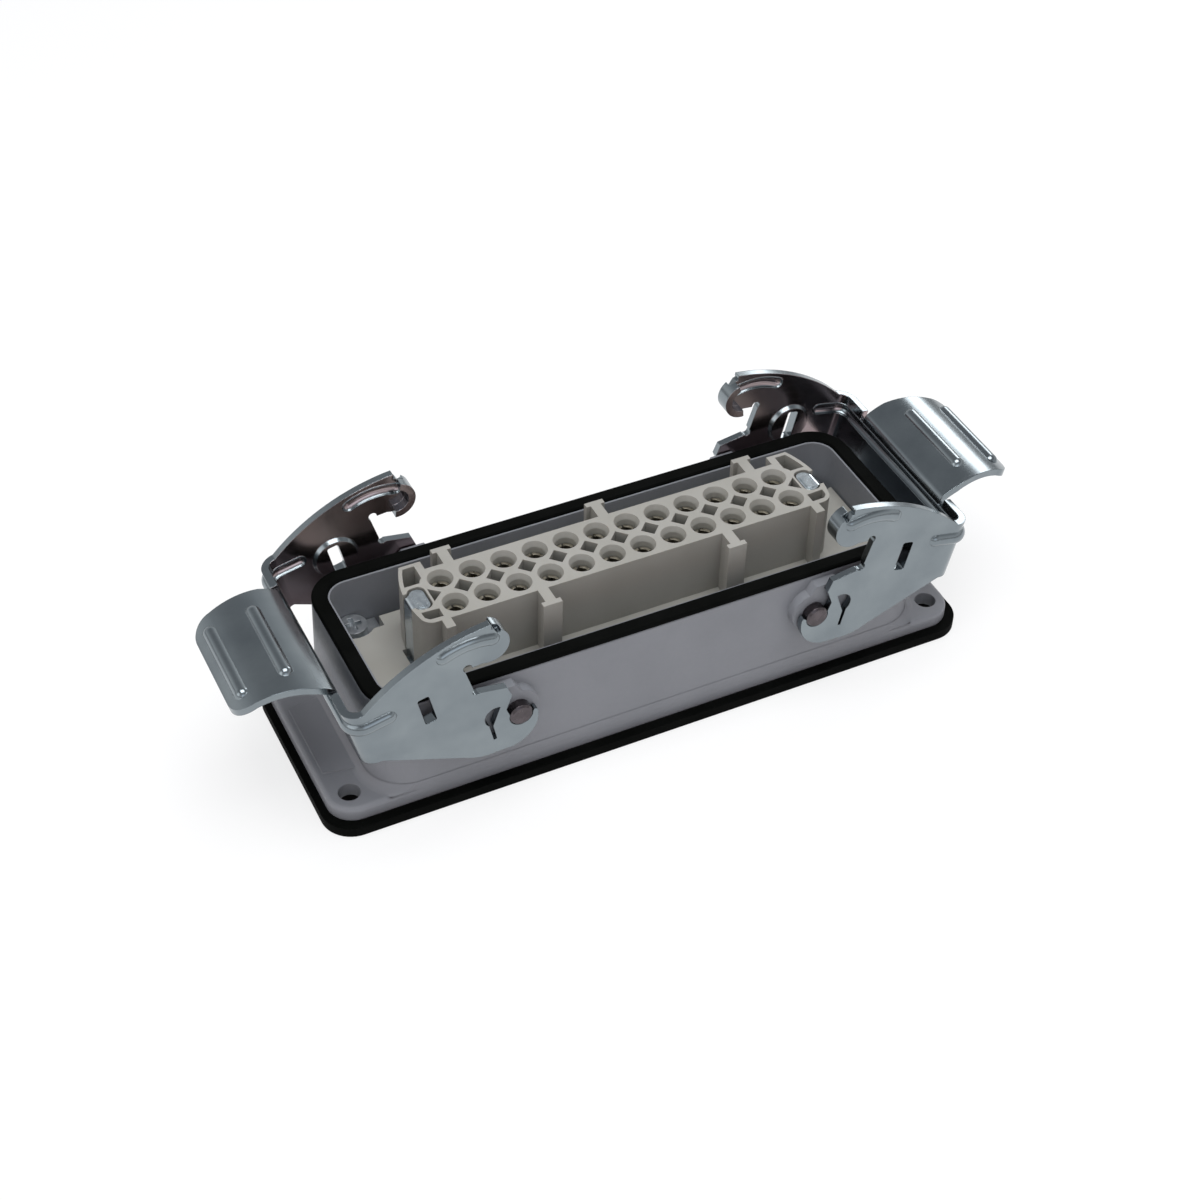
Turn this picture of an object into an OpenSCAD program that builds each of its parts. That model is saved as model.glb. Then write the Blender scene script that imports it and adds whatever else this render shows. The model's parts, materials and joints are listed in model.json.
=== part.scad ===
// Bulkhead half of a heavy duty rectangular connector: a cast housing with two
// locking levers, and a female screw-terminal insert of 2 x 12 contacts.
// Millimetres. Z = 0 is the panel, +Z is the mating side, X runs along the housing.

/* [Housing] */
// Length of the wall at its rim
wall_length = 120.1; // [119.5:0.1:120.5]
// Width of the wall at its rim
wall_width = 40.4; // [40.2:0.1:40.6]
// Height of the metal rim above the panel
wall_height = 27.7; // [27:0.1:28.4]
// Outer radius of the wall's corners
wall_corner = 8; // [7.5:0.1:8.5]
// Thickness of the wall at its rim
wall_thickness = 3.6; // [3.4:0.1:3.8]
// How far the wall leans out at its foot
wall_draft = 0.65; // [0.5:0.05:0.7]
// Length of the mounting flange
flange_length = 139.2; // [138:0.1:140]
// Thickness of the mounting flange
flange_thickness = 3.1; // [2.6:0.1:3.5]
// Spacing of the mounting holes along the length
mount_x = 130; // [129:0.5:131]
// Spacing of the mounting holes across the width
mount_y = 32; // [31.5:0.1:32.5]
// Diameter of the mounting holes
mount_d = 4.4; // [4.3:0.1:5]

/* [Gaskets] */
// Thickness of the gasket under the flange
flange_gasket_t = 2.2; // [1.6:0.1:2.6]
// Length of the flange gasket
flange_gasket_length = 142.4; // [141.6:0.1:143]
// Width of the flange gasket
flange_gasket_width = 45.7; // [45:0.1:46]
// Height of the rim gasket above the metal rim
rim_gasket_h = 0.9; // [0.6:0.1:1.2]
// Width of the rim gasket
rim_gasket_w = 3.2; // [3:0.05:3.3]

/* [Levers] */
// Thickness of the lever sheet
sheet = 1.5; // [1.3:0.1:1.6]
// Distance between the inner faces of a lever's arms
lever_inside = 45.6; // [45.6:0.1:46]
// Distance of the pivots from the middle
pivot_x = 32.4; // [32:0.1:32.8]
// Height of the pivots above the panel
pivot_z = 20.2; // [20:0.1:20.4]
// Diameter of the pivot pins
pin_d = 4.8; // [4.6:0.1:4.8]
// Radial play between a pin and its hook
pin_play = 0.05; // [0.03:0.01:0.08]
// Height of the pressed beads
bead_h = 0.9; // [0.7:0.1:1]
// How far the levers lean back from their closed position
lean = 12.7; // [0:0.1:28]

/* [Insert] */
// Number of contacts in a row
columns = 12; // [12:1:12]
// Spacing of the contacts in a row
pitch = 6.71; // [6.65:0.01:6.75]
// Spacing of the two rows
row_pitch = 7.36; // [7.2:0.01:7.5]
// Height of the mating face above the panel
mating_face = 33.9; // [33:0.1:34.5]
// Height of the insert's shoulder above the panel
shoulder = 19.5; // [19.2:0.1:19.8]
// Diameter of a socket's mouth
mouth_d = 5.2; // [5:0.05:5.4]
// Diameter of the pin that a contact takes
contact_bore = 2.6; // [2.5:0.05:2.8]
// Spacing of the fixing screws along the length
fixing_x = 104; // [103.6:0.1:104.4]
// Spacing of the fixing screws across the width
fixing_y = 27; // [26.8:0.1:27.2]

/* [Hidden] */
$fn = 48;
eps = 0.01;
CONTACTS = [for (i = [1 : 2 * columns]) str("contact_", i < 10 ? "0" : "", i)];

// Housing
foot_z = flange_gasket_t;
flange_top = foot_z + flange_thickness;
flange_corner = 5.5;
gasket_corner = 6.4;
flange_edge = 1;
foot_fillet = 2;
draft_start = flange_top - flange_edge;
flange_width = wall_width + 2 * wall_draft;
rim_edge = 0.4;
lip_h = 0.3;
lip_w = 0.4;
inner_draft = 0.3;
keel_out = 1;
keel_w = 1.2;
keel_depth = 0.35;
keel_groove_depth = 1.4;
land_h = 0.3;
pad_face = lever_inside / 2 - 0.3;
pad_r = 4.6;
pin_end = lever_inside / 2 + sheet + 0.3;
pin_root = wall_width / 2 - 2;
pin_edge = 0.4;
screw_post_r = 3.9;
screw_post_top = 15;

// Levers, measured from the pivot with the lever closed
arm_in = lever_inside / 2;
arm_out = arm_in + sheet;
bend_in = 2;
bend_out = bend_in + sheet;
web_out = 31.2;
bend_x = web_out - bend_out;
bend_y = arm_out - bend_out;
back_c = [4.6, -14.7];
back_r = 41.4;
web_low = 6.2;
web_high = thousandths(back_c[1] + sqrt(back_r * back_r - (bend_x - back_c[0]) * (bend_x - back_c[0])));
notch_low = 17.4;
notch_w = 1.2;
bead_r = 1.6;
groove_r = 1.3;
groove_depth = 0.8;
bead_end_step = 0.05;
bead_start = 23.4;
bead_z = 16.2;
grip_c = [40.8, 8.9];
grip_r = 15.1;
grip_half = 14.9;
grip_tip = 48.5;
grip_tip_half = 13.2;
grip_tip_r = 4.5;
grip_wide_x = 33.6;
grip_end_angle = 52;
grip_bead_half = 10.4;
grip_bead_angles = [107, 72];
root_r = 0.5;
root_overlap = 5;
slot_c = [16.5, 13.2];
slot_l = 6.9;
slot_w = 2.4;
finger_c = [1.6, 21.5];
finger_r = 4.05;
finger_lip = 2;
finger_bead_c = [7, 10.8];
finger_bead_r = 13.65;
finger_bead_from = 75;
finger_bead_to = 118;

// Insert
row_y = row_pitch / 2;
block_half_x = 45.4;
block_half_y = 7.4;
block_corner = 2.5;
end_r = 22;
ear_x = 38.6;
ear_y = 9.8;
ear_wall = 0.8;
base_half_x = 46.5;
base_half_y = 13.3;
shoulder_half_x = 56;
tongue_half_y = 10.4;
frame_t = 1.8;
frame_half_y = 16.1;
frame_corner = 4;
frame_top = screw_post_top + frame_t;
base_bottom = 1;
rib_reach = 12.1;
stub_reach = 9.9;
mouth_h = 1.2;
socket_r = 2.1;
socket_floor = shoulder + 3;
pocket_depth = 8;
diamond = 2.8;
contact_top = mating_face - 2.5;
contact_r = 1.95;
contact_depth = 12;
contact_slit = 0.4;
terminal_bottom = 4.5;
terminal_top = 11.5;
terminal_half = 2.4;
terminal_in = 1.7;
terminal_out = 9.3;
terminal_z = 7.6;
wire_y = 6;
wire_r = 1.6;
terminal_screw_r = 1.5;
terminal_head_r = 2.1;
terminal_head_h = 1.6;
access_r = 2.3;
strap_half = 1.95;
strap_t = 0.8;
strap_x = block_half_x - 1;
leaf_half = 1.5;
leaf_half_y = 2.9;
leaf_x = 41.2;
leaf_top = mating_face - 0.3;
leaf_crown = 0.2;
leaf_depth = 2;
earth_x = 50.5;
earth_half = 4.6;
earth_bottom = 7.5;
earth_z = 11.2;
earth_wire_r = 2;
earth_screw_r = 2;
earth_head_r = 2.9;
screw_r = 2;
screw_end = 6;
fixing_head_r = 2.9;
fixing_head_h = 2.4;
drive = 1;
drive_depth = 1.3;

function column_x(i) = (i - (columns - 1) / 2) * pitch;
function thousandths(v) = round(1000 * v) / 1000;

module both_x() { children(); mirror([1, 0, 0]) children(); }
module both_y() { children(); mirror([0, 1, 0]) children(); }
module four_corners() both_x() both_y() children();

// Sweeps a section round a rounded rectangle. The section is drawn with x pointing
// outwards from the rectangle's line and y pointing up.
module swept(half_x, half_y, r) {
    both_x() translate([half_x, 0, 0]) rotate([90, 0, 0])
        linear_extrude(2 * (half_y - r), center = true) children();
    both_y() rotate([0, 0, 90]) translate([half_y, 0, 0]) rotate([90, 0, 0])
        linear_extrude(2 * (half_x - r), center = true) children();
    four_corners() translate([half_x - r, half_y - r, 0])
        rotate_extrude(angle = 90) translate([r, 0]) children();
}

module rounded_rectangle(half_x, half_y, r) {
    square([2 * half_x, 2 * (half_y - r)], center = true);
    square([2 * (half_x - r), 2 * half_y], center = true);
    for (x = [r - half_x, half_x - r], y = [r - half_y, half_y - r]) translate([x, y]) circle(r);
}

module slab(half_x, half_y, r, z0, z1)
    translate([0, 0, z0]) linear_extrude(z1 - z0) rounded_rectangle(half_x, half_y, r);

// Stands a flat outline up in the XZ plane, from y0 to y1
module upright(y0, y1)
    translate([0, y1, 0]) rotate([90, 0, 0]) linear_extrude(y1 - y0) children();

module along_y(x, z, r, y0, y1)
    translate([x, y0, z]) rotate([-90, 0, 0]) cylinder(r = r, h = y1 - y0);

module along_x(y, z, r, x0, x1)
    translate([x0, y, z]) rotate([0, 90, 0]) cylinder(r = r, h = x1 - x0);

module box(a, b) translate(a) cube(b - a);

// ---------------------------------------------------------------- housing

module wall_section() {
    seat_in = -rim_gasket_w;
    difference() {
        polygon([[wall_draft, foot_z], [wall_draft, draft_start],
            [0, wall_height - rim_edge], [-rim_edge, wall_height],
            [seat_in, wall_height], [seat_in, wall_height + lip_h],
            [seat_in - lip_w, wall_height + lip_h],
            [-wall_thickness - inner_draft, foot_z]]);
        translate([-keel_out - keel_w, wall_height - keel_groove_depth])
            square([keel_w, keel_groove_depth + eps]);
    }
}

module foot_fillet_section() translate([wall_draft - eps, flange_top - eps])
    difference() {
        square(foot_fillet);
        translate([foot_fillet, foot_fillet]) circle(foot_fillet);
    }

module flange() {
    half_x = flange_length / 2;
    half_y = flange_width / 2;
    e = flange_edge;
    swept(half_x, half_y, flange_corner) {
        translate([-flange_corner, foot_z]) square([flange_corner, flange_thickness - e]);
        translate([-flange_corner, foot_z]) square([flange_corner - e, flange_thickness]);
        translate([-e, flange_top - e]) circle(e);
    }
    box([-half_x + flange_corner, -half_y + flange_corner, foot_z],
        [half_x - flange_corner, half_y - flange_corner, flange_top]);
    both_x() translate([0, 0, flange_top - eps]) linear_extrude(land_h)
        polygon([[wall_length / 2, -11], [half_x - 1.6, -9.4],
            [half_x - 1.6, 9.4], [wall_length / 2, 11]]);
}

// Cast pad that carries a pivot pin and keeps the lever arm off the wall
module pivot_pad() {
    upright(wall_width / 2 - 1, pad_face) {
        translate([pivot_x, pivot_z]) circle(pad_r);
        polygon([[pivot_x - 1.2, 24.4], [pivot_x + 0.4, 26.6], [pivot_x + 5.4, 26.6],
            [pivot_x + 8, 23.6], [pivot_x + 8, 15.6], [pivot_x + 5, 13], [pivot_x, 15.6]]);
    }
}

module screw_post() {
    x = fixing_x / 2;
    y = fixing_y / 2;
    translate([x, y, foot_z]) cylinder(r = screw_post_r, h = screw_post_top - foot_z);
    box([x, y - screw_post_r, foot_z], [wall_length / 2 - 2, wall_width / 2 - 2, screw_post_top]);
}

module housing() color("#75757b") {
    inner_x = wall_length / 2 - wall_thickness;
    inner_y = wall_width / 2 - wall_thickness;
    difference() {
        union() {
            difference() {
                flange();
                slab(inner_x, inner_y, wall_corner - wall_thickness, 0, flange_top + 1);
            }
            intersection() {
                union() {
                    swept(wall_length / 2, wall_width / 2, wall_corner) wall_section();
                    swept(wall_length / 2, wall_width / 2, wall_corner) foot_fillet_section();
                }
                slab(flange_length / 2, flange_width / 2, flange_corner, 0, wall_height + 2);
            }
            four_corners() pivot_pad();
            four_corners() screw_post();
        }
        four_corners() translate([mount_x / 2, mount_y / 2, 0])
            cylinder(d = mount_d, h = flange_top + 2);
        four_corners() translate([fixing_x / 2, fixing_y / 2, 5])
            cylinder(r = screw_r, h = screw_post_top);
        four_corners() along_y(pivot_x, pivot_z, pin_d / 2, pin_root, pin_end);
    }
}

module flange_gasket() color("#111111") difference() {
    slab(flange_gasket_length / 2, flange_gasket_width / 2, gasket_corner, 0, flange_gasket_t);
    slab(56.4, 16.6, 4.4, -1, flange_gasket_t + 1);
    four_corners() translate([mount_x / 2, mount_y / 2, -1])
        cylinder(d = mount_d, h = flange_gasket_t + 2);
}

module rim_gasket_section() {
    crown = 0.35;
    top = wall_height + rim_gasket_h;
    polygon([[0, wall_height], [0, top - crown], [-crown, top],
        [-rim_gasket_w + crown, top], [-rim_gasket_w, top - crown],
        [-rim_gasket_w, wall_height]]);
    translate([-keel_out - keel_w, wall_height - keel_depth])
        square([keel_w, keel_depth + eps]);
}

module rim_gasket() color("#111111")
    swept(wall_length / 2, wall_width / 2, wall_corner) rim_gasket_section();

module pivot_pin() color("#b9bcc0") {
    along_y(pivot_x, pivot_z, pin_d / 2, pin_root, pin_end - pin_edge);
    translate([pivot_x, pin_end - pin_edge, pivot_z]) rotate([-90, 0, 0])
        cylinder(r1 = pin_d / 2, r2 = pin_d / 2 - pin_edge, h = pin_edge);
}

// ---------------------------------------------------------------- levers

// Outline of an arm, seen from the side
module arm_outline() {
    difference() {
        union() {
            intersection() {
                polygon([[4.6, -6.9], [8.4, -6.2], [11.9, -4.6], [bend_x, web_low],
                    [bend_x, web_high], [11, 31], [0.2, 31], [0.2, 26], finger_c, [3, 18],
                    [7.5, 18.5], [7, 11.4], [0.9, 8.9], [0.5, 6.3], [2.4, 3.3]]);
                translate(back_c) circle(back_r);
            }
            translate(finger_c) circle(finger_r);
            translate([3.2, -0.5]) circle(6.6);
            intersection() {
                translate([6.2, 3.5]) circle(10);
                polygon([[4.7, -7.3], [14.5, -5.1], [13.2, 0.7], [3.4, -1.5]]);
            }
        }
        polygon([[-6, 32], [0.2, 32], [0.2, 26], [-0.6, 23.7], [-1.1, 23.7], [-2, 25.2], [-6, 25.2]]);
        polygon([[-5.3, -1.2], [-1.4, -0.3], [2.1, 1.2], [2.4, 3.3], [0.5, 6.3],
            [0.9, 8.9], [-7.9, 10.3]]);
        circle(pin_d / 2 + pin_play);
        translate([6.8, 18.6]) circle(0.9);
        translate([6.6, 11.8]) circle(0.9);
        spring_window();
        translate(slot_c) slot_shape();
    }
    translate([-2.9, -0.7]) circle(0.5);
}

module slot_shape() rounded_rectangle(slot_w / 2, slot_l / 2, 0.5);

// D-shaped window and slit that free a springy tongue beside the pivot
module spring_window() {
    intersection() {
        translate([4.6, 2.7]) circle(2.5);
        polygon([[3.2, 5], [6.4, -0.2], [12.8, 0.6], [10.8, 9.4], [2, 7.4]]);
    }
    polygon([[5.8, 1.1], [6.6, 1.1], [6.6, -3], [5.9, -2.9]]);
}

// A pressed bead stands out of the sheet and leaves a groove on the other side
bead_centre = arm_out + bead_h - bead_r;
groove_centre = arm_in + groove_depth - groove_r;

module arc_bead(y, r) {
    span = finger_bead_to - finger_bead_from;
    translate([finger_bead_c[0], y, finger_bead_c[1]]) rotate([90, -finger_bead_from, 0]) {
        rotate_extrude(angle = span) translate([finger_bead_r, 0]) circle(r);
        for (a = [0, span]) rotate([0, 0, a]) translate([finger_bead_r, 0, 0]) sphere(r - bead_end_step);
    }
}

// The bead that runs from one arm round both corners and along the web
module corner_bead(off, r) {
    radius = off - bend_y;
    both_y() {
        translate([bead_start, off, bead_z]) sphere(r);
        along_x(off, bead_z, r, bead_start, bend_x);
        translate([bend_x, bend_y, bead_z])
            rotate_extrude(angle = 90) translate([radius, 0]) circle(r);
    }
    along_y(bend_x + radius, bead_z, r, -bend_y, bend_y);
}

module grip_bead(angle, radius, r) {
    half = grip_bead_half - r;
    x = grip_c[0] + radius * cos(angle);
    z = grip_c[1] + radius * sin(angle);
    along_y(x, z, r, -half, half);
    both_y() translate([x, half, z]) sphere(r);
}

module grip_plan() {
    root = web_out - sheet - 1;
    x = grip_tip - grip_tip_r;
    y = grip_tip_half - grip_tip_r;
    linear_extrude(grip_c[1] + grip_r + 1) {
        polygon([[root, -grip_half], [grip_wide_x, -grip_half], [x, -grip_tip_half],
            [x, grip_tip_half], [grip_wide_x, grip_half], [root, grip_half]]);
        translate([x - eps, -y]) square([grip_tip_r + eps, 2 * y]);
        for (side = [-y, y]) translate([x, side]) circle(grip_tip_r);
    }
}

// A bent strip of sheet seen edge on, between two angles round its centre
module bent_strip(c, r, from, to) intersection() {
    translate(c) difference() {
        circle(r + sheet);
        circle(r);
    }
    far = 3 * (r + sheet);
    mid = (from + to) / 2;
    polygon([c, c + far * [cos(from), sin(from)], c + far * [cos(mid), sin(mid)],
        c + far * [cos(to), sin(to)]]);
}

// The web's upper edge rolls outwards into the arched grip
module grip_sheet() {
    reach = grip_r - root_r - sheet;
    root_x = web_out + root_r;
    root_angle = acos((root_x - grip_c[0]) / reach);
    root_z = thousandths(grip_c[1] + reach * sin(root_angle));
    intersection() {
        upright(-grip_half, grip_half) {
            bent_strip(grip_c, grip_r - sheet, grip_end_angle, root_angle);
            bent_strip([root_x, root_z], root_r, root_angle - root_overlap, 180);
            translate([web_out - sheet, web_low]) square([sheet, root_z - web_low]);
        }
        grip_plan();
    }
}

module lever_sheet() {
    web_in = web_out - sheet;
    both_y() {
        upright(arm_in, arm_out) arm_outline();
        translate([bend_x, bend_y, web_low]) rotate_extrude(angle = 90)
            translate([bend_in, 0]) square([sheet, web_high - web_low]);
        box([web_in, grip_half + notch_w, web_low], [web_out, bend_y, web_high]);
        box([web_in, grip_half - eps, web_low], [web_out, grip_half + notch_w + eps, notch_low]);
        finger_end_lip();
        guide_ring();
    }
    grip_sheet();
}

// The end of the finger is turned inwards, so that it rides onto the peg of the mating half
module finger_end_lip() upright(arm_in - finger_lip, arm_in + eps)
    translate(finger_c) difference() {
        circle(finger_r);
        circle(finger_r - sheet);
        polygon([[0, 0], [-1.9, 3.6], [-2, 9], [12, 9], [12, -8], [2.6, -8]]);
    }

// Raised ring round the slot on the inside of the arm
module guide_ring() difference() {
    translate([slot_c[0], arm_in + eps, slot_c[1]]) rotate([90, 0, 0])
        cylinder(r1 = 4.8, r2 = 4.3, h = 0.8);
    upright(arm_in - 2, arm_out) translate(slot_c) slot_shape();
}

module lever() color("#9a9da3") translate([pivot_x, 0, pivot_z]) rotate([0, lean, 0]) difference() {
    union() {
        lever_sheet();
        both_y() arc_bead(bead_centre, bead_r);
        corner_bead(bead_centre, bead_r);
        for (a = grip_bead_angles) grip_bead(a, grip_r + bead_h - bead_r, bead_r);
    }
    both_y() arc_bead(groove_centre, groove_r);
    corner_bead(groove_centre, groove_r);
    for (a = grip_bead_angles) grip_bead(a, grip_r - sheet + groove_depth - groove_r, groove_r);
}

// ---------------------------------------------------------------- insert

module block_outline() {
    x = block_half_x;
    inner = block_half_y - block_corner;
    corner_x = x - end_r + sqrt((end_r - block_corner) * (end_r - block_corner) - inner * inner);
    both_x() {
        translate([0, -block_half_y]) square([corner_x, 2 * block_half_y]);
        translate([corner_x, -inner]) circle(block_corner);
        intersection() {
            translate([ear_x, -inner * end_r / (end_r - block_corner)]) square([x, 2 * ear_y]);
            translate([0, -ear_y]) square([x, 2 * ear_y]);
            translate([x - end_r, 0]) circle(end_r);
        }
    }
}

// A guide rib on the long side; its T head runs in the mating half
module guide_rib(x, angle) {
    stem = 1.1;
    head = 2;
    head_t = 1.2;
    translate([x, 0, frame_top]) rotate([0, 0, angle]) linear_extrude(mating_face - frame_top) {
        translate([-stem, block_half_y - eps]) square([2 * stem, rib_reach - block_half_y]);
        translate([-head, rib_reach - head_t]) square([2 * head, head_t]);
    }
}

module end_pockets() {
    translate([0, 0, mating_face - pocket_depth]) linear_extrude(pocket_depth + 1) {
        difference() {
            intersection() {
                translate([ear_x + ear_wall + 0.8, 4]) square([6, ear_y - ear_wall - 4]);
                translate([block_half_x - end_r, 0]) circle(end_r - ear_wall);
            }
            translate([ear_x, 3.2]) circle(2.6);
        }
        polygon([[40.4, -4.1], [44, -3.9], [43.9, -5.5], [43.1, -6.3], [40.4, -6.4]]);
        polygon([[38.2, 0], [leaf_x - 0.8, 1.9], [leaf_x - 0.8, -1.9]]);
    }
}

// Room for the earth contact: its head, the groove down the end face, and its foot
module earth_slot() {
    groove_half = strap_half + 0.25;
    gap = 0.35;
    translate([leaf_x + leaf_half, 0, leaf_top - leaf_depth])
        linear_extrude(leaf_depth + 1)
            rounded_rectangle(leaf_half + gap, leaf_half_y + gap, leaf_half);
    box([strap_x, -groove_half, shoulder + 0.9], [base_half_x, groove_half, mating_face + 1]);
    box([strap_x, -groove_half, shoulder - 2], [strap_x + 1.6, groove_half, shoulder + 1]);
    box([strap_x, -strap_half, frame_top], [earth_x, strap_half, frame_top + strap_t]);
    box([strap_x, -strap_half, frame_top], [strap_x + strap_t, strap_half, shoulder + 1]);
}

module base_outline() difference() {
    union() {
        square([2 * base_half_x, 2 * base_half_y], center = true);
        square([2 * shoulder_half_x, 2 * tongue_half_y], center = true);
    }
    four_corners() translate([fixing_x / 2, fixing_y / 2]) circle(4.5);
}

module socket_hole(x, y) translate([x, y, 0]) {
    translate([0, 0, mating_face - mouth_h])
        cylinder(r1 = socket_r, r2 = mouth_d / 2, h = mouth_h + eps);
    translate([0, 0, socket_floor]) cylinder(r = socket_r, h = mating_face - socket_floor);
    translate([0, 0, terminal_top - 1])
        cylinder(r = contact_r, h = socket_floor - terminal_top + 2);
}

module terminal_shaft(x) {
    box([x - terminal_half, terminal_in, base_bottom - 1],
        [x + terminal_half, terminal_out, terminal_top]);
    along_y(x, terminal_z, access_r, terminal_out - 1, base_half_y + 1);
}

module insert_body() color("#b0b1a8") difference() {
    union() {
        translate([0, 0, frame_top]) linear_extrude(mating_face - frame_top) block_outline();
        translate([0, 0, frame_top]) linear_extrude(shoulder - frame_top) base_outline();
        box([-base_half_x, -base_half_y, base_bottom], [base_half_x, base_half_y, frame_top]);
        for (x = [0, 5 * pitch, -5 * pitch]) guide_rib(x, 0);
        for (x = [3 * pitch, -3 * pitch]) guide_rib(x, 180);
        both_x() box([6 * pitch - 0.95, -stub_reach, frame_top],
            [6 * pitch + 0.95, -block_half_y + eps, mating_face]);
    }
    for (i = [0 : columns - 1]) both_y() {
        socket_hole(column_x(i), row_y);
        terminal_shaft(column_x(i));
    }
    for (k = [1 : columns - 1])
        translate([(k - columns / 2) * pitch, 0, mating_face - pocket_depth]) rotate([0, 0, 45])
            translate([-diamond / 2, -diamond / 2, 0]) cube([diamond, diamond, pocket_depth + 1]);
    both_x() end_pockets();
    both_x() earth_slot();
}

// A contact is a split socket with its screw terminal below
module contact(n) {
    i = (n - 1) % columns;
    side = n > columns ? 180 : 0;
    x = side == 0 ? column_x(i) : -column_x(i);
    slit = contact_slit / 2;
    slit_z = contact_top - contact_depth + 3;
    color("#c9a24b") rotate([0, 0, side]) difference() {
        union() {
            box([x - terminal_half, terminal_in, terminal_bottom],
                [x + terminal_half, terminal_out, terminal_top]);
            translate([x, row_y, terminal_top - eps])
                cylinder(r = contact_r, h = contact_top - terminal_top + eps);
        }
        translate([x, row_y, contact_top - contact_depth])
            cylinder(d = contact_bore, h = contact_depth + 1);
        box([x - slit, row_y - 3, slit_z], [x + slit, row_y + 3, contact_top + 1]);
        box([x - 3, row_y - slit, slit_z], [x + 3, row_y + slit, contact_top + 1]);
        translate([x, wire_y, terminal_bottom - 1])
            cylinder(r = wire_r, h = terminal_top - terminal_bottom);
        along_y(x, terminal_z, terminal_screw_r, wire_y, terminal_out + 1);
    }
}

module cross_recess(r) for (a = [0, 90]) rotate([0, 0, a])
    translate([-drive / 2, -0.62 * r, 0]) cube([drive, 1.24 * r, drive_depth + 1]);

module terminal_screws() color("#c8cacc")
    for (i = [0 : columns - 1]) both_y()
        translate([column_x(i), wire_y + 0.9, terminal_z]) rotate([-90, 0, 0]) difference() {
            reach = terminal_out - wire_y - 0.9;
            union() {
                cylinder(r = terminal_screw_r, h = reach + eps);
                translate([0, 0, reach]) cylinder(r = terminal_head_r, h = terminal_head_h);
            }
            translate([-terminal_head_r, -0.3, reach + 0.8])
                cube([2 * terminal_head_r, 0.6, terminal_head_h]);
        }

module end_frame() color("#b4b7bb") difference() {
    translate([0, 0, screw_post_top]) linear_extrude(frame_t) intersection() {
        rounded_rectangle(shoulder_half_x, frame_half_y, frame_corner);
        translate([base_half_x, -frame_half_y]) square(2 * frame_half_y);
    }
    both_y() translate([fixing_x / 2, fixing_y / 2, screw_post_top - 1])
        cylinder(r = screw_r + 0.2, h = frame_t + 2);
}

// Earth contact: a strap that rises in the groove and folds over into an oval head
module earth_contact() color("#c4c9d0") {
    fold = 1.1;
    fold_x = strap_x + strap_t - fold;
    fold_z = leaf_top - fold;
    head_x = leaf_x + leaf_half;
    translate([head_x, 0, leaf_top - strap_t]) linear_extrude(strap_t)
        rounded_rectangle(leaf_half, leaf_half_y, leaf_half - 0.1);
    translate([head_x, 0, leaf_top - eps]) linear_extrude(leaf_crown)
        rounded_rectangle(leaf_half - 0.55, leaf_half_y - 0.65, leaf_half - 0.6);
    translate([fold_x, strap_half, fold_z]) rotate([90, 0, 0]) linear_extrude(2 * strap_half)
        intersection() {
            difference() {
                circle(fold);
                circle(fold - strap_t);
            }
            square(fold);
        }
    box([head_x, -strap_half, leaf_top - strap_t], [fold_x + eps, strap_half, leaf_top]);
    box([strap_x, -strap_half, frame_top], [strap_x + strap_t, strap_half, fold_z + eps]);
    box([strap_x, -strap_half, frame_top], [earth_x, strap_half, frame_top + strap_t]);
}

module earth_clamp() color("#b4b7bb") difference() {
    box([earth_x - 3, -earth_half, earth_bottom], [earth_x + 3, earth_half, screw_post_top]);
    translate([earth_x, 0, earth_bottom - 1])
        cylinder(r = earth_wire_r, h = screw_post_top - earth_bottom);
    along_x(0, earth_z, earth_screw_r, earth_x, earth_x + 4);
}

module earth_screw() color("#c8cacc")
    translate([earth_x + 1, 0, earth_z]) rotate([0, 90, 0]) difference() {
        union() {
            cylinder(r = earth_screw_r, h = 2 + eps);
            translate([0, 0, 2]) cylinder(r = earth_head_r, h = 1.8);
        }
        translate([0, 0, 2.8]) cross_recess(earth_head_r);
    }

module fixing_screw() color("#c8cacc") difference() {
    union() {
        translate([0, 0, screw_end]) cylinder(r = screw_r, h = frame_top - screw_end + eps);
        translate([0, 0, frame_top]) cylinder(r = fixing_head_r, h = fixing_head_h);
    }
    translate([0, 0, frame_top + fixing_head_h - drive_depth]) cross_recess(fixing_head_r);
}

module fixing_screws()
    four_corners() translate([fixing_x / 2, fixing_y / 2, 0]) fixing_screw();

module to_left() mirror([1, 0, 0]) children();
module to_front() mirror([0, 1, 0]) children();

housing();
flange_gasket();
rim_gasket();
to_left() to_front() pivot_pin();  // pivot_pin_left_front
to_left() pivot_pin();  // pivot_pin_left_rear
to_front() pivot_pin();  // pivot_pin_right_front
pivot_pin();  // pivot_pin_right_rear
to_left() lever();  // lever_left
lever();  // lever_right
insert_body();
to_left() end_frame();  // end_frame_left
end_frame();  // end_frame_right
to_left() earth_contact();  // earth_contact_left
earth_contact();  // earth_contact_right
to_left() earth_clamp();  // earth_clamp_left
earth_clamp();  // earth_clamp_right
to_left() earth_screw();  // earth_screw_left
earth_screw();  // earth_screw_right
fixing_screws();
terminal_screws();
for (n = [1 : 2 * columns])
    contact(n);
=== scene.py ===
import json
import math

import bpy
from mathutils import Matrix, Vector


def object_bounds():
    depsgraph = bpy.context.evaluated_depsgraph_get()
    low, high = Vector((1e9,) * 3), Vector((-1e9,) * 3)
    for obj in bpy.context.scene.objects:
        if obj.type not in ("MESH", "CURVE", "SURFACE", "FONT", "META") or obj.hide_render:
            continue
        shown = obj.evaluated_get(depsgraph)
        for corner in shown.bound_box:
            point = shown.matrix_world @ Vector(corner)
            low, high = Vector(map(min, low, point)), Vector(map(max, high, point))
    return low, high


MM = 0.001

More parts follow.
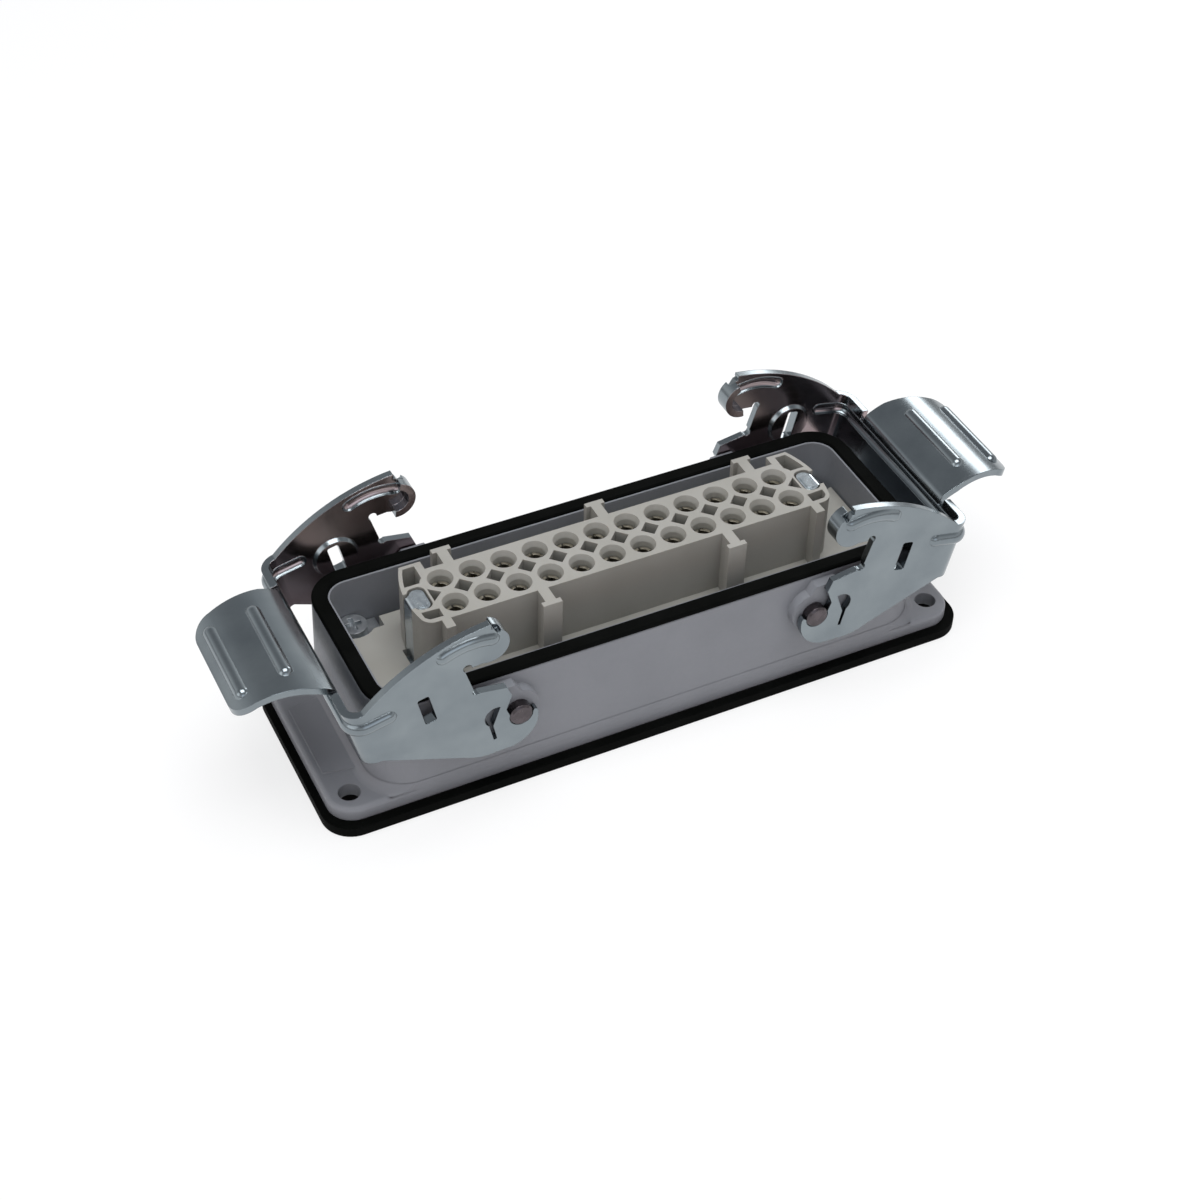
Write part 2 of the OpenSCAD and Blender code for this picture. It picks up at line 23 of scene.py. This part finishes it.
# The camera stands above the left front corner; millimetres and radians.
CAMERA_PLACE = (-152.29, -291.5, 320.19)
CAMERA_YAW, CAMERA_PITCH, CAMERA_ROLL = 0.47063, -0.74502, 0.02652
SENSOR_WIDTH, LENS = 36, 66.11

# Millimetres. Of the levers' faces that turn to the middle, only the arms' lie this far out.
ARM_INSIDE = 15

# Noise seldom leaves this part of its 0 to 1 range.
NOISE_LOW, NOISE_HIGH = 0.3, 0.7

# A band pattern at scale 1 repeats every 0.31 units.
BAND_PERIOD = 0.31

# The colour sockets of a Mix node: the two inputs and the output.
MIX_FIRST, MIX_SECOND, MIX_RESULT = 6, 7, 2

# Metres: half the floor's side, and its gap under the seal.
FLOOR_HALF, FLOOR_GAP = 3.0, 0.0002

# How much of the floor is plain white where the background is seen; the rest takes the shadow.
FLOOR_GLOW = 0.75

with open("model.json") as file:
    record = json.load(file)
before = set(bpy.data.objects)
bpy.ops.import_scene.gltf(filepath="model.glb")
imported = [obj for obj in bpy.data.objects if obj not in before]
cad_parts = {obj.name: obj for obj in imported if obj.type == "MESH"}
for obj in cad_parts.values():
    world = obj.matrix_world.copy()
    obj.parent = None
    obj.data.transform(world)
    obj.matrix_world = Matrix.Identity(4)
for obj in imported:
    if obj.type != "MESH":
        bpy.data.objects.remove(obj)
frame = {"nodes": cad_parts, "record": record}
cad_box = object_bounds()
nodes = frame["nodes"]


# ---------------------------------------------------------------- camera


def place_camera():
    """Looks down the long side from above the left front corner."""
    level_reach = math.cos(CAMERA_PITCH)
    ahead = Vector(
        (
            math.sin(CAMERA_YAW) * level_reach,
            math.cos(CAMERA_YAW) * level_reach,
            math.sin(CAMERA_PITCH),
        )
    )
    level = Vector((math.cos(CAMERA_YAW), -math.sin(CAMERA_YAW), 0))
    over = level.cross(ahead)
    right = math.cos(CAMERA_ROLL) * level + math.sin(CAMERA_ROLL) * over
    up = math.cos(CAMERA_ROLL) * over - math.sin(CAMERA_ROLL) * level
    lens = bpy.data.cameras.new("camera")
    lens.sensor_width = SENSOR_WIDTH
    lens.lens = LENS
    lens.clip_start, lens.clip_end = 0.01, 20
    camera = bpy.data.objects.new("camera", lens)
    turn = Matrix((right, up, -ahead)).transposed().to_4x4()
    camera.matrix_world = Matrix.Translation(Vector(CAMERA_PLACE) * MM) @ turn
    bpy.context.scene.collection.objects.link(camera)
    bpy.context.scene.camera = camera


# ---------------------------------------------------------------- materials


def linear(code):
    """An sRGB hex value as the linear colour that a shader takes."""
    parts = [int(code[i : i + 2], 16) / 255 for i in (1, 3, 5)]
    return [c / 12.92 if c <= 0.04045 else ((c + 0.055) / 1.055) ** 2.4 for c in parts] + [1]


def node(tree, kind, inputs=None, stops=None, **settings):
    """Adds a node, sets its properties and colour stops, and fills or links its inputs."""
    made = tree.nodes.new(kind)
    for name, value in settings.items():
        setattr(made, name, value)
    for key, value in (inputs or {}).items():
        if isinstance(value, bpy.types.NodeSocket):
            tree.links.new(value, made.inputs[key])
        else:
            made.inputs[key].default_value = value
    if stops:
        elements = made.color_ramp.elements
        while len(elements) < len(stops):
            elements.new(0.5)
        for element, (place, code) in zip(elements, stops):
            element.position = place
            element.color = linear(code)
    return made


def new_material(name, **surface):
    """A material with an empty shader, whose uniform numbers are set on its own sockets."""
    material = bpy.data.materials.new(name)
    material.use_nodes = True
    tree = material.node_tree
    tree.nodes.clear()
    shader = node(tree, "ShaderNodeBsdfPrincipled")
    for socket, value in surface.items():
        shader.inputs[socket.replace("_", " ")].default_value = value
    node(tree, "ShaderNodeOutputMaterial", {"Surface": shader.outputs["BSDF"]})
    place = node(tree, "ShaderNodeTexCoord").outputs["Object"]
    return material, tree, shader, place


def grain(tree, place, size, detail=3.0, stretch=(1, 1, 1)):
    """Noise whose cells are size millimetres across."""
    scale = [s / (size * MM) for s in stretch]
    scaled = node(tree, "ShaderNodeMapping", {"Vector": place, "Scale": scale})
    inputs = {"Vector": scaled.outputs["Vector"], "Scale": 1.0, "Detail": detail, "Roughness": 0.5}
    return node(tree, "ShaderNodeTexNoise", inputs).outputs["Fac"]


def finish_surface(tree, shader, clouds, tones, gloss, roughness, rounding, relief, depth):
    """Clouds of two tones, a gloss that wanders, and rounded edges under a fine relief.

    Rounding and depth are in millimetres. Returns the clouds' colour.
    """
    colour = node(tree, "ShaderNodeValToRGB", {"Fac": clouds}, tones).outputs["Color"]
    spread = {"From Min": NOISE_LOW, "From Max": NOISE_HIGH}
    ends = {"To Min": roughness[0], "To Max": roughness[1]}
    rough = node(tree, "ShaderNodeMapRange", {"Value": gloss, **spread, **ends})
    edges = node(tree, "ShaderNodeBevel", {"Radius": rounding * MM}, samples=4)
    inputs = {"Height": relief, "Distance": depth * MM, "Strength": 1.0}
    bump = node(tree, "ShaderNodeBump", {**inputs, "Normal": edges.outputs["Normal"]})
    tree.links.new(colour, shader.inputs["Base Color"])
    tree.links.new(rough.outputs["Result"], shader.inputs["Roughness"])
    tree.links.new(bump.outputs["Normal"], shader.inputs["Normal"])
    return colour


def two_tones(dark, light):
    """Colour stops that spread two tones over the usual range of a noise."""
    return [(NOISE_LOW, dark), (NOISE_HIGH, light)]


def powder_coated_aluminium():
    """Die-cast aluminium under grey powder coat: an even satin grey with a faint orange peel."""
    material, tree, shader, place = new_material("powder_coated_aluminium", IOR=1.5)
    cloud = grain(tree, place, 14, 2.0)
    peel = grain(tree, place, 0.9, 2.0)
    tones = two_tones("#77797e", "#7d7f84")
    finish_surface(tree, shader, cloud, tones, peel, (0.44, 0.54), 0.35, peel, 0.02)
    return material


def moulded_rubber():
    """Nitrile rubber from a spark-eroded mould: near black, with a dull fine grain.

    The mould's grain is finer in life, and is drawn this coarse so that it shows.
    """
    material, tree, shader, place = new_material(
        "moulded_nitrile_rubber", IOR=1.45, Specular_IOR_Level=0.03
    )
    fine = grain(tree, place, 0.5, 4.0)
    dust = grain(tree, place, 6, 4.0)
    tones = [(0.35, "#060706"), (0.75, "#0b0c0b")]
    finish_surface(tree, shader, dust, tones, fine, (0.6, 0.75), 0.25, fine, 0.01)
    return material


def tumbled_steel():
    """Pressed steel sheet, tumbled bright: soft clouds and fine scratches along its length.

    The inner faces of the arms take a warmer, pinker base colour: a painted reflection of the
    warm, shaded inside of the housing that they face.
    The scratches are finer in life, and are drawn this coarse so that they show.
    """
    material, tree, shader, place = new_material("tumbled_steel_sheet", Metallic=1.0)
    cloud = grain(tree, place, 9)
    scratch = grain(tree, place, 0.35, 2.0, stretch=(0.12, 1, 1))
    tones = two_tones("#7d858a", "#8b9397")
    bright = finish_surface(
        tree, shader, cloud, tones, scratch, (0.17, 0.22), 0.25, scratch, 0.0008
    )
    # Painted reflection: the arms' inner faces get a warmer, pinker base colour for the warm,
    # shaded inside of the housing that they face.
    painted_warm_reflection = node(tree, "ShaderNodeValToRGB", {"Fac": cloud}, two_tones("#a39294", "#aea1a2"))
    across = node(tree, "ShaderNodeSeparateXYZ", {0: place}).outputs["Y"]
    normal = place.node.outputs["Normal"]
    facing = node(tree, "ShaderNodeSeparateXYZ", {0: normal}).outputs["Y"]
    outward = node(tree, "ShaderNodeMath", {0: across, 1: facing}, operation="MULTIPLY")
    limits = {0: outward.outputs[0], 1: -ARM_INSIDE * MM}
    inside = node(tree, "ShaderNodeMath", limits, operation="LESS_THAN")
    colours = {MIX_FIRST: bright, MIX_SECOND: painted_warm_reflection.outputs["Color"]}
    reflection_tint_mix = node(
        tree, "ShaderNodeMix", {"Factor": inside.outputs[0], **colours}, data_type="RGBA"
    )
    tree.links.new(reflection_tint_mix.outputs[MIX_RESULT], shader.inputs["Base Color"])
    return material


def turned_steel():
    """Free-cutting steel from the lathe, with tool rings round the axis. Its dark brownish grey is
    painted shade, for the shade and dark reflections of the recess that the pins sit in.

    The rings are finer in life, and are drawn 0.25 mm apart so that they show.
    """
    material, tree, shader, place = new_material("turned_steel", Metallic=1.0)
    inputs = {"Scale": BAND_PERIOD / (0.25 * MM), "Distortion": 0.4, "Detail": 2.0}
    rings = node(
        tree,
        "ShaderNodeTexWave",
        {"Vector": place, **inputs},
        wave_type="BANDS",
        bands_direction="Y",
    ).outputs["Fac"]
    cloud = grain(tree, place, 2.0)
    # Painted shade: a dark brownish base that stands for the shade and dark reflections round the
    # pins.
    tones = two_tones("#4f4a4c", "#625b5e")
    finish_surface(tree, shader, cloud, tones, cloud, (0.2, 0.32), 0.15, rings, 0.004)
    return material


def moulded_polycarbonate():
    """Glass-filled polycarbonate, injection moulded: warm pebble grey, satin, faintly clouded."""
    material, tree, shader, place = new_material(
        "moulded_polycarbonate",
        IOR=1.58,
        Subsurface_Weight=0.08,
        Subsurface_Radius=(0.0012, 0.001, 0.0008),
        Subsurface_Scale=1.0,
    )
    flow = grain(tree, place, 11, 2.0, stretch=(1, 1, 0.4))
    fine = grain(tree, place, 0.6)
    tones = two_tones("#908e87", "#989690")
    finish_surface(tree, shader, flow, tones, fine, (0.38, 0.5), 0.12, fine, 0.01)
    return material


def plated_metal(name, tones, roughness, size):
    """A plated metal: its crystals, size millimetres across, show as a faint patchwork of sheen.

    The crystals are finer in life, and are drawn this coarse so that they show.
    """
    material, tree, shader, place = new_material(name, Metallic=1.0)
    inputs = {"Vector": place, "Scale": 1 / (size * MM)}
    cells = node(tree, "ShaderNodeTexVoronoi", inputs, feature="F1").outputs["Distance"]
    cloud = grain(tree, place, 4 * size)
    finish_surface(tree, shader, cloud, tones, cloud, roughness, 0.12, cells, 0.006)
    return material


def finish_nodes():
    """Gives every solid the finish that its slot in the record names."""
    rubber = moulded_rubber()
    zinc_tones = two_tones("#b4b9bd", "#cfd3d6")
    silver_tones = two_tones("#b9c2c8", "#d0d8dc")
    contact_tones = two_tones("#a8a294", "#c0baa9")
    zinc = plated_metal("zinc_plated_steel", zinc_tones, (0.28, 0.38), 0.5)
    finishes = {
        "housing_coat": powder_coated_aluminium(),
        "flange_seal": rubber,
        "rim_seal": rubber,
        "pin_steel": turned_steel(),
        "lever_steel": tumbled_steel(),
        "insert_plastic": moulded_polycarbonate(),
        "frame_steel": zinc,
        "screw_steel": zinc,
        "earth_strip": plated_metal("silver_plated_strip", silver_tones, (0.18, 0.28), 0.4),
        "contact_brass": plated_metal("silver_plated_brass", contact_tones, (0.25, 0.4), 0.3),
    }
    for part in frame["record"]["subparts"]:
        piece = nodes[part["node"]]
        piece.data.materials.clear()
        piece.data.materials.append(finishes[part["material_slot"]])


# ---------------------------------------------------------------- studio


def background_seen(tree):
    """1 for rays that show the background: from the camera, off metal, and through glass."""
    path = node(tree, "ShaderNodeLightPath").outputs
    first = {0: path["Is Camera Ray"], 1: path["Is Glossy Ray"]}
    either = node(tree, "ShaderNodeMath", first, operation="MAXIMUM")
    second = {0: either.outputs[0], 1: path["Is Transmission Ray"]}
    return node(tree, "ShaderNodeMath", second, operation="MAXIMUM").outputs[0]


def lay_floor():
    """A pale studio floor that keeps a soft shadow."""
    material = bpy.data.materials.new("studio_floor")
    material.use_nodes = True
    tree = material.node_tree
    tree.nodes.clear()
    paint = node(tree, "ShaderNodeBsdfDiffuse", {"Color": linear("#f2f2f2")})
    glow = node(tree, "ShaderNodeEmission", {"Color": linear("#ffffff"), "Strength": 1.0})
    share = node(
        tree, "ShaderNodeMath", {0: background_seen(tree), 1: FLOOR_GLOW}, operation="MULTIPLY"
    )
    shades = {0: share.outputs[0], 1: paint.outputs[0], 2: glow.outputs[0]}
    mix = node(tree, "ShaderNodeMixShader", shades)
    node(tree, "ShaderNodeOutputMaterial", {"Surface": mix.outputs[0]})
    level = cad_box[0].z - FLOOR_GAP
    ends = [(-1, -1), (1, -1), (1, 1), (-1, 1)]
    corners = [(x * FLOOR_HALF, y * FLOOR_HALF, level) for x, y in ends]
    mesh = bpy.data.meshes.new("studio_floor")
    mesh.from_pydata(corners, [], [(0, 1, 2, 3)])
    mesh.materials.append(material)
    floor = bpy.data.objects.new("studio_floor", mesh)
    bpy.context.scene.collection.objects.link(floor)


def hang_lamp(name, place, aim, size, power, colour="#ffffff"):
    """A rectangular lamp at place, in metres, turned to face aim; power in watts."""
    lamp = bpy.data.lights.new(name, "AREA")
    lamp.shape = "RECTANGLE"
    lamp.size, lamp.size_y = size
    lamp.energy = power
    lamp.color = linear(colour)[:3]
    holder = bpy.data.objects.new(name, lamp)
    place = Vector(place)
    holder.location = place
    holder.rotation_mode = "QUATERNION"
    holder.rotation_quaternion = (Vector(aim) - place).to_track_quat("-Z", "Y")
    bpy.context.scene.collection.objects.link(holder)


def light_studio():
    """Soft light all round, a dome of greys for the metal to show, and four lamps."""
    world = bpy.data.worlds.new("studio")
    bpy.context.scene.world = world
    world.use_nodes = True
    tree = world.node_tree
    tree.nodes.clear()
    place = node(tree, "ShaderNodeTexCoord").outputs["Generated"]
    height = {"Fac": node(tree, "ShaderNodeSeparateXYZ", {0: place}).outputs["Z"]}
    dome_stops = [(0.0, "#919395"), (0.3, "#f0f0f0"), (0.5, "#d0d2d4"), (0.7, "#999b9e")]
    dome = node(tree, "ShaderNodeValToRGB", height, dome_stops).outputs["Color"]
    shown = node(tree, "ShaderNodeBackground", {"Color": dome, "Strength": 1.0})
    sky_stops = [(0.0, "#ffe9e1"), (0.35, "#fff4f0"), (0.8, "#e9f3ff")]
    sky = node(tree, "ShaderNodeValToRGB", height, sky_stops).outputs["Color"]
    fill = node(tree, "ShaderNodeBackground", {"Color": sky, "Strength": 0.6})
    shades = {0: background_seen(tree), 1: fill.outputs[0], 2: shown.outputs[0]}
    mix = node(tree, "ShaderNodeMixShader", shades)
    white = {"Color": linear("#ffffff"), "Strength": 1.0}
    backdrop = node(tree, "ShaderNodeBackground", white)
    direct = node(tree, "ShaderNodeLightPath").outputs["Is Camera Ray"]
    shades = {0: direct, 1: mix.outputs[0], 2: backdrop.outputs[0]}
    whole = node(tree, "ShaderNodeMixShader", shades)
    node(tree, "ShaderNodeOutputWorld", {"Surface": whole.outputs[0]})
    rear = (0.346, 0.27, 0.217)
    hang_lamp("softbox_rear_right", rear, (0.05, 0, 0.04), (0.13, 0.13), 0.24)
    hang_lamp("overhead_panel", (0, -0.05, 0.8), (0, 0, 0), (0.6, 0.5), 4.8)
    hang_lamp("front_fill", (-0.1, -0.7, 0.4), (0, 0, 0.02), (0.5, 0.4), 0.39, "#e6f0ff")
    hang_lamp("side_fill", (-0.6, -0.1, 0.35), (0, 0, 0.02), (0.4, 0.4), 0.5)


place_camera()
finish_nodes()
lay_floor()
light_studio()
bpy.context.scene.view_settings.view_transform = "Standard"
